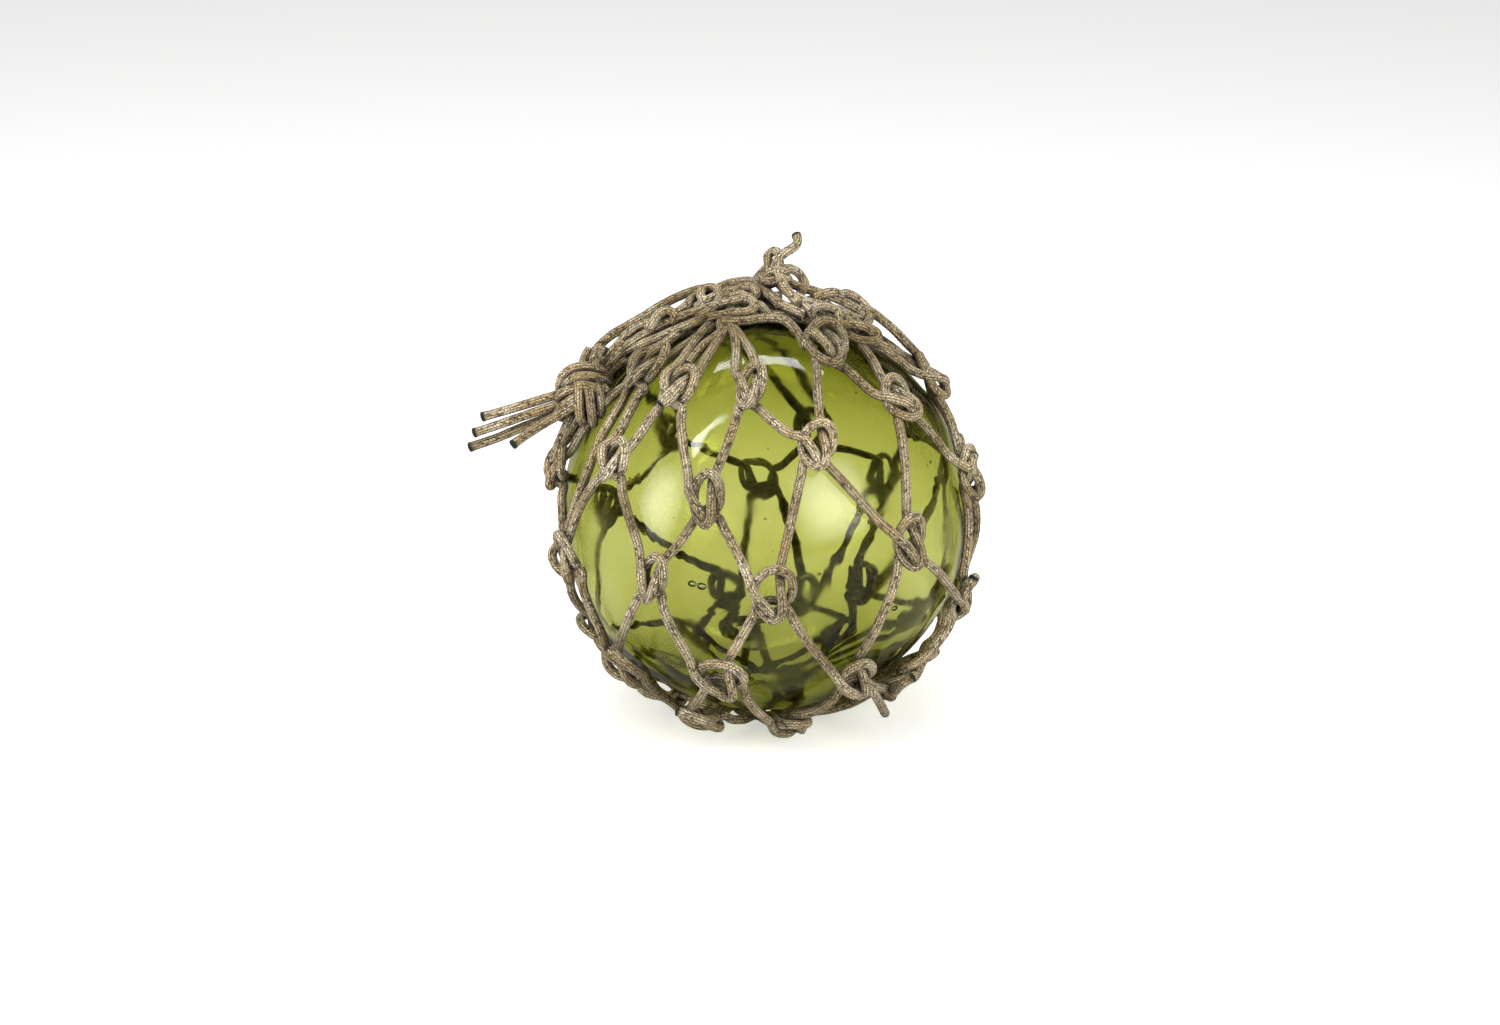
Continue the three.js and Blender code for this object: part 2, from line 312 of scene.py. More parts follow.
@dataclass(frozen=True)
class BraidFinish:
    """Weathered braided cord: tan yarn with dark flecks, painted shade between stitches and between cords,
    black where it is burnt off.
    """

    name: str = "weathered_cord"
    tan: tuple[float, float, float] = (0.68, 0.51, 0.26)
    pale: tuple[float, float, float] = (1.0, 0.87, 0.62)
    rust: tuple[float, float, float] = (0.34, 0.185, 0.11)
    moss: tuple[float, float, float] = (0.22, 0.165, 0.06)
    # Dark of the flecks and tracer yarns, also used for the painted shade between stitches and between cords
    fleck_and_shade: tuple[float, float, float] = (0.028, 0.016, 0.007)
    burnt: tuple[float, float, float] = (0.011, 0.012, 0.007)
    relief: float = 0.00022

    def build(self, braid: bpy.types.NodeTree, grime: bpy.types.NodeTree) -> bpy.types.Material:
        """Makes the material.

        Args:
            braid: The braid's node group.
            grime: The dirt's node group.

        Returns:
            The finished material.
        """
        material, n = new_material(self.name)
        along = n.add("ShaderNodeAttribute", attribute_name="along").outputs["Fac"]
        burn = n.add("ShaderNodeAttribute", attribute_name="burn").outputs["Fac"]
        ring = n.add("ShaderNodeSeparateXYZ")
        n.link(n.add("ShaderNodeAttribute", attribute_name="ring").outputs["Vector"], ring.inputs[0])
        turn = n.math("ARCTAN2", ring.outputs[1], ring.outputs[0])
        turn = n.math("ADD", n.math("DIVIDE", turn, 2 * math.pi), 0.5)
        cord = n.add("ShaderNodeGroup", node_tree=braid)
        n.link(along, cord.inputs["Along"])
        n.link(turn, cord.inputs["Turn"])
        dirt = n.add("ShaderNodeGroup", node_tree=grime)
        place = n.add("ShaderNodeTexCoord").outputs["Object"]
        tone = n.noise(place, 60.0, 3.0)
        colour = n.mix(n.span(tone, 0.35, 0.68), self.tan, self.pale)
        colour = n.mix(n.math("MULTIPLY", n.span(dirt.outputs["Patch"], 0.55, 0.72), 0.65), colour, self.rust)
        colour = n.mix(n.math("MULTIPLY", dirt.outputs["Dirt"], 0.75), colour, self.moss)
        own = n.span(cord.outputs["Stitch"], 0.0, 1.0, 0.6, 1.3)
        shade = n.add("ShaderNodeCombineColor")
        for socket in shade.inputs[:3]:
            n.link(own, socket)
        colour = n.mix(1.0, colour, shade.outputs[0], "MULTIPLY")
        # Painted shade between stitches, stronger on some stitches than on others
        uneven = n.span(cord.outputs["Stitch"], 0.2, 0.7, 0.45, 1.0)
        colour = n.mix(n.math("MULTIPLY", cord.outputs["GapShade"], uneven), colour, self.fleck_and_shade)
        speck = n.noise(place, 1050.0, 1.0, 0.5)
        colour = n.mix(n.math("MULTIPLY", n.span(speck, 0.54, 0.62), 0.75), colour, self.fleck_and_shade)
        tracer = n.math("GREATER_THAN", cord.outputs["Stitch"], 0.88)
        colour = n.mix(n.math("MULTIPLY", tracer, 0.75), colour, self.fleck_and_shade)
        # Painted shade: ambient occlusion darkens the colour where cords lie close together
        occlusion_shade = n.add("ShaderNodeAmbientOcclusion", samples=6, only_local=False)
        n.fill(occlusion_shade, Distance=0.009)
        painted_shade_amount = n.span(occlusion_shade.outputs["AO"], 0.15, 0.75, 0.92, 0.0)
        colour = n.mix(painted_shade_amount, colour, self.fleck_and_shade)
        colour = n.mix(n.span(burn, 0.15, 0.75), colour, self.burnt)
        shader = n.add("ShaderNodeBsdfPrincipled")
        n.link(colour, shader.inputs["Base Color"])
        n.link(n.span(burn, 0.3, 0.9, 0.88, 0.62), shader.inputs["Roughness"])
        n.fill(shader, Specular_IOR_Level=0.25, Sheen_Weight=0.12, Sheen_Roughness=0.5)
        fuzz = n.noise(place, 2600.0, 2.0, 0.7)
        height = n.math("ADD", cord.outputs["Height"], n.math("MULTIPLY", fuzz, 0.35))
        bump = n.add("ShaderNodeBump")
        n.fill(bump, Strength=0.9, Distance=self.relief)
        n.link(height, bump.inputs["Height"])
        n.link(bump.outputs[0], shader.inputs["Normal"])
        n.link(shader.outputs[0], n.add("ShaderNodeOutputMaterial").inputs["Surface"])
        return material


@dataclass(frozen=True)
class GlassFinish:
    """Clear blown glass that takes its olive colour from its own thickness."""

    name: str = "olive_glass"
    tint: tuple[float, float, float] = (0.625, 0.635, 0.0)
    density: float = 228.0
    ior: float = 1.42

    def build(self) -> bpy.types.Material:
        """Makes the material."""
        material, n = new_material(self.name)
        place = n.add("ShaderNodeTexCoord").outputs["Object"]
        shader = n.add("ShaderNodeBsdfPrincipled")
        n.fill(shader, Base_Color=(0.97, 0.98, 0.93, 1.0), Transmission_Weight=1.0, IOR=self.ior)
        smear = n.noise(place, 34.0, 5.0, 0.65)
        n.link(n.span(smear, 0.42, 0.75, 0.0, 0.16), shader.inputs["Roughness"])
        swirl = n.add("ShaderNodeTexNoise")
        n.link(place, swirl.inputs["Vector"])
        n.fill(swirl, Scale=16.0, Detail=2.0, Distortion=1.6)
        bump = n.add("ShaderNodeBump")
        n.fill(bump, Strength=0.35, Distance=0.0012)
        n.link(swirl.outputs["Fac"], bump.inputs["Height"])
        n.link(bump.outputs[0], shader.inputs["Normal"])
        through = n.add("ShaderNodeBsdfTransparent")
        n.fill(through, Color=(0.95, 0.95, 0.92, 1.0))
        lamp_way = n.add("ShaderNodeMixShader")
        n.link(n.add("ShaderNodeLightPath").outputs["Is Shadow Ray"], lamp_way.inputs[0])
        n.link(shader.outputs[0], lamp_way.inputs[1])
        n.link(through.outputs[0], lamp_way.inputs[2])
        body = n.add("ShaderNodeVolumeAbsorption")
        n.fill(body, Color=(*self.tint, 1.0), Density=self.density)
        out = n.add("ShaderNodeOutputMaterial")
        n.link(lamp_way.outputs[0], out.inputs["Surface"])
        n.link(body.outputs[0], out.inputs["Volume"])
        return material


# Cord making


@dataclass
class Cord:
    """One length of cord.

    The line holds the points it follows. A cut end is swollen, rounded off and burnt dark.
    """

    line: np.ndarray
    cut_end: bool = False

    def finished(self, step: float, seed: int) -> tuple[np.ndarray, np.ndarray, np.ndarray, np.ndarray]:
        """The cord ready to be swept.

        Args:
            step: The distance between two rings, in metres.
            seed: What makes this cord's unevenness its own.

        Returns:
            Its points, its girth as a share of the cord's, the way along it and how burnt it is.
        """
        line = smooth_line(self.line, step)
        run = np.concatenate([[0.0], np.cumsum(np.linalg.norm(np.diff(line, axis=0), axis=1))])
        girth = np.array([1 + 0.045 * noise.noise(Vector((s * 130, seed * 7.3, 0.5))) for s in run])
        burn = np.zeros(len(line))
        if self.cut_end:
            far = run[-1] - run
            burn = np.maximum(burn, np.clip(1 - (far - 0.6 * MM) / (1.8 * MM), 0, 1))
            girth *= 1 + 0.09 * np.exp(-((far - 0.7 * MM) / (0.8 * MM)) ** 2)
            # The round tip: how far beyond the end its rings are, in millimetres, and below their girth
            out = unit(line[-1] - line[-2])
            beyond = np.array([0.3, 0.5, 0.6])
            line = np.vstack([line, [line[-1] + out * d * MM for d in beyond]])
            girth = np.append(girth, [0.86, 0.6, 0.25])
            burn = np.append(burn, np.ones(3))
            run = np.append(run, run[-1] + beyond * MM)
        return line, girth, run + seed * 0.37, burn


class CordTree:
    """The geometry nodes that sweep a round section along cord lines."""

    def __init__(self) -> None:
        """Builds the tree with its named inputs."""
        tree = bpy.data.node_groups.new("sweep_cord", "GeometryNodeTree")
        face = tree.interface
        face.new_socket("Lines", in_out="INPUT", socket_type="NodeSocketGeometry")
        self.radius = face.new_socket("Radius", in_out="INPUT", socket_type="NodeSocketFloat")
        self.sides = face.new_socket("Sides", in_out="INPUT", socket_type="NodeSocketInt")
        self.finish = face.new_socket("Finish", in_out="INPUT", socket_type="NodeSocketMaterial")
        face.new_socket("Cord", in_out="OUTPUT", socket_type="NodeSocketGeometry")
        n = Nodes(tree)
        given = n.add("NodeGroupInput").outputs
        curve = n.add("GeometryNodeMeshToCurve")
        n.link(given["Lines"], curve.inputs[0])
        circle = n.add("GeometryNodeCurvePrimitiveCircle")
        n.link(given["Sides"], circle.inputs["Resolution"])
        n.fill(circle, Radius=1.0)
        ring = n.add("GeometryNodeStoreNamedAttribute", data_type="FLOAT_VECTOR", domain="POINT")
        n.fill(ring, Name="ring")
        n.link(circle.outputs[0], ring.inputs["Geometry"])
        n.link(n.add("GeometryNodeInputPosition").outputs[0], ring.inputs["Value"])
        size = n.add("GeometryNodeTransform")
        scale = n.add("ShaderNodeCombineXYZ")
        for socket in scale.inputs:
            n.link(given["Radius"], socket)
        n.link(ring.outputs[0], size.inputs["Geometry"])
        n.link(scale.outputs[0], size.inputs["Scale"])
        girth = n.add("GeometryNodeInputNamedAttribute", data_type="FLOAT")
        n.fill(girth, Name="girth")
        sweep = n.add("GeometryNodeCurveToMesh")
        n.link(curve.outputs[0], sweep.inputs["Curve"])
        n.link(size.outputs[0], sweep.inputs["Profile Curve"])
        n.link(girth.outputs[0], sweep.inputs["Scale"])
        n.fill(sweep, Fill_Caps=True)
        soft = n.add("GeometryNodeSetShadeSmooth")
        real = n.add("GeometryNodeRealizeInstances")
        dressed = n.add("GeometryNodeSetMaterial")
        n.link(sweep.outputs[0], soft.inputs["Geometry"])
        n.link(soft.outputs[0], real.inputs["Geometry"])
        n.link(real.outputs[0], dressed.inputs["Geometry"])
        n.link(given["Finish"], dressed.inputs["Material"])
        n.link(dressed.outputs[0], n.add("NodeGroupOutput").inputs[0])
        self.tree = tree

    def sweep(self, name: str, cords: list[Cord], finish: bpy.types.Material, step: float = 1.1 * MM,
              sides: int = 12, seed: int = 0) -> bpy.types.Object:
        """Makes one piece from several cords.

        Args:
            name: The piece's name.
            cords: The cords in it.
            finish: The cord's material.
            step: The distance between two rings of the mesh.
            sides: The number of sides of the cord.
            seed: The first cord's seed.

        Returns:
            The piece, a plain mesh at the origin.
        """
        made = [cord.finished(step, seed + i) for i, cord in enumerate(cords)]
        mesh = bpy.data.meshes.new(name)
        points = np.vstack([part[0] for part in made])
        edges: list[tuple[int, int]] = []
        start = 0
        for part in made:
            count = len(part[0])
            edges += [(start + i, start + i + 1) for i in range(count - 1)]
            start += count
        mesh.from_pydata(points.tolist(), edges, [])
        for label, column in (("girth", 1), ("along", 2), ("burn", 3)):
            attribute = mesh.attributes.new(label, "FLOAT", "POINT")
            values = np.concatenate([part[column] for part in made]).astype(np.float32)
            attribute.data.foreach_set("value", values)
        piece = put(name, mesh)
        modifier = piece.modifiers.new("sweep", "NODES")
        modifier.node_group = self.tree
        modifier[self.radius.identifier] = CORD / 2
        modifier[self.sides.identifier] = sides
        modifier[self.finish.identifier] = finish
        return bake(piece)


def bake(piece: bpy.types.Object) -> bpy.types.Object:
    """Turns a piece's modifiers into a plain mesh."""
    evaluated = piece.evaluated_get(bpy.context.evaluated_depsgraph_get())
    plain = bpy.data.meshes.new_from_object(evaluated)
    old = piece.data
    piece.modifiers.clear()
    piece.data = plain
    bpy.data.meshes.remove(old)
    plain.name = piece.name
    return piece


def settle(piece: bpy.types.Object, node: str) -> None:
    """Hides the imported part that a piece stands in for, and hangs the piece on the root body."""
    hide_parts(node)
    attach(piece, "root")
    LOG.info("%s: %d faces", piece.name, len(piece.data.polygons))


# The net


@dataclass(frozen=True)
class NetRow:
    """One row of knots. Angles are in degrees, lifts in cord diameters over the glass.

    The row stands at the angle up, shifted by a share of a column and twisted round. Its knots lie at the
    lift knot, and the cords that reach them at the lift above. Places has the angles round and up of each
    knot with a place of its own. The others keep to the regular spacing.
    """

    up: float
    shift: float
    twist: float
    knot: float
    above: float
    places: dict[int, tuple[float, float]]


@dataclass(frozen=True)
class TiedKnot:
    """Where one knot sits, and how it was pulled tight."""

    middle: np.ndarray
    east: np.ndarray
    north: np.ndarray
    lift: float
    wide: float
    high: float
    turn: float


class Fall(Enum):
    """The two ways a cord of the net can lead, by how many columns it moves in a row."""

    RIGHT = 0.5
    LEFT = -0.5


@dataclass
class CordNet:
    """The net: nine cords that fall to the right, knotted to nine that fall to the left."""

    ball: Ball
    columns: int = 9
    lean: float = -9.7
    nod: float = 1.3
    stray_round: float = 2.2
    stray_up: float = 1.8
    crown: tuple[float, float] = (-137.0, 81.0)
    crown_ring: float = 8.5 * MM
    crown_lift: float = 0.715
    foot_ring: float = 14.5 * MM
    rows: list[NetRow] = field(default_factory=lambda: [
        NetRow(59, 0, 6.7, 1.32, 0.8, {
            0: (-58, 61.5), 1: (-28.3, 56.7), 2: (6.9, 54.4), 3: (58.6, 59), 4: (89, 54.5)}),
        NetRow(29.5, -0.5, 1.5, 1.32, 0.6, {
            0: (-79, 26), 1: (-45.6, 34.8), 2: (-12.1, 25.3), 3: (23.2, 33.6), 4: (61.7, 35), 5: (101, 27),
            6: (128, 9), 7: (165, 4), 8: (207, 12)}),
        NetRow(0.3, 0, -1, 1.32, 0.6, {
            0: (-64.5, 5), 1: (-29.3, 5.7), 2: (1.8, -0.9), 3: (41.3, 1.4), 4: (77, 5.8), 5: (114, -4),
            6: (144.5, -11.8), 7: (182.7, -9.3), 8: (233.8, -4)}),
        NetRow(-31.3, -0.5, -3, 1.45, 0.9, {
            0: (-93, -30), 1: (-54.3, -26), 2: (-17.3, -25.7), 3: (23, -35.9), 4: (69.5, -27), 5: (104, -38),
            6: (147, -45), 7: (173, -49), 8: (204, -42)}),
        NetRow(-52.5, 0, -4.3, 1.6, 1.5, {
            1: (-43.5, -52.3), 2: (-1.8, -59.3), 3: (51.6, -54), 6: (149, -64), 7: (207, -58)}),
    ])
    # Width, height and turn in degrees of the knots in front, against the flat knot below
    pulled: dict[tuple[int, int], tuple[float, float, float]] = field(default_factory=lambda: {
        (0, 1): (1, 0.8, -17), (0, 2): (0.65, 0.86, -21), (0, 3): (1.15, 1.25, -47), (0, 4): (0.9, 0.85, -20),
        (1, 1): (0.9, 0.72, -14), (1, 2): (0.88, 0.9, -4), (1, 3): (0.92, 0.81, -22), (1, 4): (0.95, 0.82, 1),
        (2, 1): (0.7, 0.9, -24), (2, 2): (1.16, 0.97, -10), (2, 3): (0.86, 0.93, -3),
        (3, 1): (0.9, 0.8, 4), (3, 2): (1.4, 1, -10), (3, 3): (1, 1.15, 7), (3, 4): (0.9, 0.9, 10),
    })
    # One knot, flat: right, up and out from its middle, in cord diameters
    right_fall: Route = field(default_factory=lambda: [
        (-1.65, 0.85, 0.9), (-0.7, -0.6, 1.05), (-0.1, -1.5, 0.6), (0.5, -1.8, -0.3), (1.15, -1.7, -0.7),
    ])
    left_fall: Route = field(default_factory=lambda: [
        (0.6, 2.6, -0.4), (0.6, 1.1, 0.25), (0.7, -0.7, 0.8), (0.6, -1.9, 0.8),
        (-0.05, -2.45, 0.45), (-0.95, -1.7, 0.0), (-1.5, -0.4, -0.3), (-1.55, 1.0, -0.2), (-1.05, 2.1, 0.2),
        (-0.2, 2.85, 0.6), (0.7, 2.9, 0.8), (1.35, 2.2, 0.75), (1.6, 1.0, 0.4), (1.45, -0.15, -0.05),
        (0.8, -0.8, -0.5), (-0.2, -0.8, -0.75), (-1.15, -1.2, -0.7),
    ])

    def __post_init__(self) -> None:
        """Works out how far the whole net is turned on the ball."""
        nod = Matrix.Rotation(math.radians(self.nod), 3, "X")
        lean = Matrix.Rotation(math.radians(self.lean), 3, "Y")
        self.turn = np.array(nod @ lean)

    def knot(self, row: int, column: int) -> TiedKnot:
        """The knot of one row and column."""
        spec = self.rows[row]
        c = column % self.columns
        stray = math.sin(5.1 * c + 2.3 * row)
        regular = (
            (c + spec.shift - 2) * 360 / self.columns + spec.twist + self.stray_round * stray,
            spec.up + self.stray_up * math.cos(3.7 * c + 1.9 * row),
        )
        around, up = spec.places.get(c, regular)
        middle = self.turn @ compass(around, up)
        east = self.turn @ compass(around + 90, 0)
        chance = random.Random(row * 31 + c)
        loose = (chance.uniform(0.8, 1.15), chance.uniform(0.82, 1.02), chance.uniform(-14, 18))
        wide, high, turn = self.pulled.get((row, c), loose)
        return TiedKnot(middle, east, np.cross(middle, east), spec.knot, wide, high, math.radians(turn))

    def on_knot(self, knot: TiedKnot, place: tuple[float, float, float]) -> np.ndarray:
        """A point of the flat knot, laid on the ball."""
        right, up, out = place
        right *= knot.wide
        up *= knot.high
        across = right * math.cos(knot.turn) - up * math.sin(knot.turn)
        along = right * math.sin(knot.turn) + up * math.cos(knot.turn)
        bend = CORD / self.ball.radius
        way = knot.middle + knot.east * across * bend + knot.north * along * bend
        return self.ball.over(way, knot.lift + out)

    def stretch(self, a: np.ndarray, b: np.ndarray, lift: float, bow: float) -> list[np.ndarray]:
        """The slack cord between two points, laid over the glass.

        Args:
            a: Where it starts.
            b: Where it ends.
            lift: Its height over the glass half way, in cord diameters.
            bow: How far it bows sideways half way, in metres.

        Returns:
            The points between the two ends.
        """
        ua, ub = unit(a - self.ball.middle), unit(b - self.ball.middle)
        la, lb = self.ball.lift_of(a), self.ball.lift_of(b)
        side = unit(np.cross(ua, ub - ua))
        laid = []
        for t in (0.17, 0.36, 0.5, 0.64, 0.83):
            share = min(1.0, math.sin(math.pi * t) * 1.25)
            height = (la * (1 - t) + lb * t) * (1 - share) + lift * share
            u = unit(ua * (1 - t) + ub * t)
            laid.append(self.ball.over(u, height) + side * bow * math.sin(math.pi * t))
        return laid

    def crown_axes(self) -> tuple[np.ndarray, np.ndarray, np.ndarray]:
        """The way out at the crown, and two ways across it."""
        axis = compass(*self.crown)
        east = unit(np.cross(np.array([0.0, 1.0, 0.0]), axis))
        return axis, east, np.cross(axis, east)

    def beside_crown(self, direction: np.ndarray, radius: float, lift: float) -> np.ndarray:
        """A point at a radius from the crown's middle, on the side that a direction points to."""
        axis, east, north = self.crown_axes()
        angle = math.atan2(float(direction @ north), float(direction @ east))
        bend = radius / self.ball.radius
        return self.ball.over(axis + east * bend * math.cos(angle) + north * bend * math.sin(angle), lift)

    def beside_foot(self, direction: np.ndarray, radius: float, height: float) -> np.ndarray:
        """A point at a radius from the middle of the foot, on the side that a direction points to."""
        flat = unit(np.array([direction[0], direction[1], 0.0]))
        return np.array([self.ball.middle[0], self.ball.middle[1], height]) + flat * radius

    def start(self, first: int, fall: Fall) -> list[np.ndarray]:
        """Where a cord comes from at the crown: its own way in, or over the ring there."""
        if (first, fall) in CROWN_WAYS:
            return [self.ball.middle + np.array(p) * MM for p in CROWN_WAYS[(first, fall)]]
        knot = self.knot(0, first)
        side = knot.middle + knot.east * (0.25 if fall is Fall.LEFT else -0.25)
        over = 1.2 if first % 2 else 1.7
        return [
            self.beside_crown(side, self.crown_ring * 0.45, 0.6),
            self.beside_crown(side, self.crown_ring * 0.8, over - 0.3),
            self.beside_crown(side, self.crown_ring * 1.25, over - 0.2),
            self.beside_crown(side, self.crown_ring * 1.9, 0.75),
        ]

    def cord(self, first: int, fall: Fall) -> Cord:
        """One cord of the net, from the crown to the foot.

        Args:
            first: The column of its first knot.
            fall: The way it leads.

        Returns:
            The cord.
        """
        chance = random.Random(first * 2 + (fall is Fall.LEFT))
        pattern = self.right_fall if fall is Fall.RIGHT else self.left_fall
        points = self.start(first, fall)
        place = float(first)
        for row, spec in enumerate(self.rows):
            knot = self.knot(row, round(place - spec.shift))
            laid = [self.on_knot(knot, p) for p in pattern]
            lift = spec.above + chance.uniform(-0.12, 0.35)
            points += self.stretch(points[-1], laid[0], lift, chance.uniform(-1.6, 1.6) * MM)
            points += laid
            place += fall.value
        side = knot.middle + knot.east * (0.2 if fall is Fall.RIGHT else -0.2)
        out = self.beside_foot(side, self.foot_ring * 1.45, 5.6 * MM)
        points += self.stretch(points[-1], out, 1.3, 0.0)
        points += [
            out,
            self.beside_foot(side, self.foot_ring * 1.1, 6.6 * MM),
            self.beside_foot(side, self.foot_ring * 0.8, 5.4 * MM),
            self.beside_foot(side, self.foot_ring * 0.6, 3.2 * MM),
        ]
        return Cord(np.array(points))

    def crown_loop(self) -> Cord:
        """The ring of cord at the crown, a little more than one turn that climbs over its own start."""
        _, east, north = self.crown_axes()
        points = []
        for a in np.linspace(0, 2 * math.pi * 1.06, 26):
            side = east * math.cos(a) + north * math.sin(a)
            lift = self.crown_lift + 0.25 * a / (2 * math.pi)
            points.append(self.beside_crown(side, self.crown_ring, lift))
        return Cord(np.array(points))

    def foot_loop(self) -> Cord:
        """The draw cord under the ball."""
        low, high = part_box("foot_cord")
        middle = np.array([(low.x + high.x) / 2, (low.y + high.y) / 2, CORD / 2 - 0.12 * MM])
        angles = np.linspace(0, 2 * math.pi * 1.02, 40)
        ring = [middle + self.foot_ring * np.array([math.cos(a), math.sin(a), 0]) for a in angles]
        return Cord(np.array(ring))


# Some net cords' ways to their first knot, in millimetres from the ball's middle: right, back, up
CROWN_WAYS: dict[tuple[int, Fall], Route] = {
    (2, Fall.RIGHT): [(-23.7, 4.5, 99.6), (-17.8, -11, 100.8), (-14.4, -24.4, 97.8), (-13.8, -39.2, 92.9)],
    (2, Fall.LEFT): [(-20.8, 0.3, 99.8), (-14.4, -15.9, 99.2), (-9.1, -31.4, 96)],
    (3, Fall.RIGHT): [
        (-20.7, -13, 102.4), (-11, -13.1, 102.4), (0.1, -6, 101.7), (8.8, -5.8, 100.7), (15.4, -18.3, 98.5),
        (19.6, -31, 94.9)],
    (3, Fall.LEFT): [(14.7, 7, 103.9), (19.5, 1.7, 101.9), (24.4, -0.5, 99.1)],
}

# Short ends that stick out of knots, in millimetres from the ball's middle: right, back, up
SHORT_ENDS: list[Route] = [
    [(-35.6, -49, 85.1), (-39.8, -54.2, 84.3), (-44, -58, 81.6), (-47.3, -59, 78.4), (-49.7, -59.3, 75.5)],
    [(-60.5, -60.7, -61.7), (-64.9, -71.6, -53.6), (-70.6, -72.5, -48), (-75.5, -69.4, -44.1)],
    [(98.5, -28.8, 27.7), (99.6, -31.7, 33.9), (101.5, -23.4, 37.7)],
    [(96.3, -23, -41.2), (97.6, -46.7, -24.6), (101.4, -45.3, -17.3)],
    [(46.8, -72.1, -62.2), (51.6, -73, -66), (55.5, -62.5, -75.7), (59.3, -42.6, -90.1)],
    [(60.8, -38.6, -81.6), (64, -55.3, -71.9), (68, -62.5, -65.2), (72.3, -61.8, -62.9)],
    [(-25.8, -49.5, -91.9), (-31.4, -72.3, -80.5), (-36.6, -77.5, -76.1), (-42.4, -76, -74.7)],
]

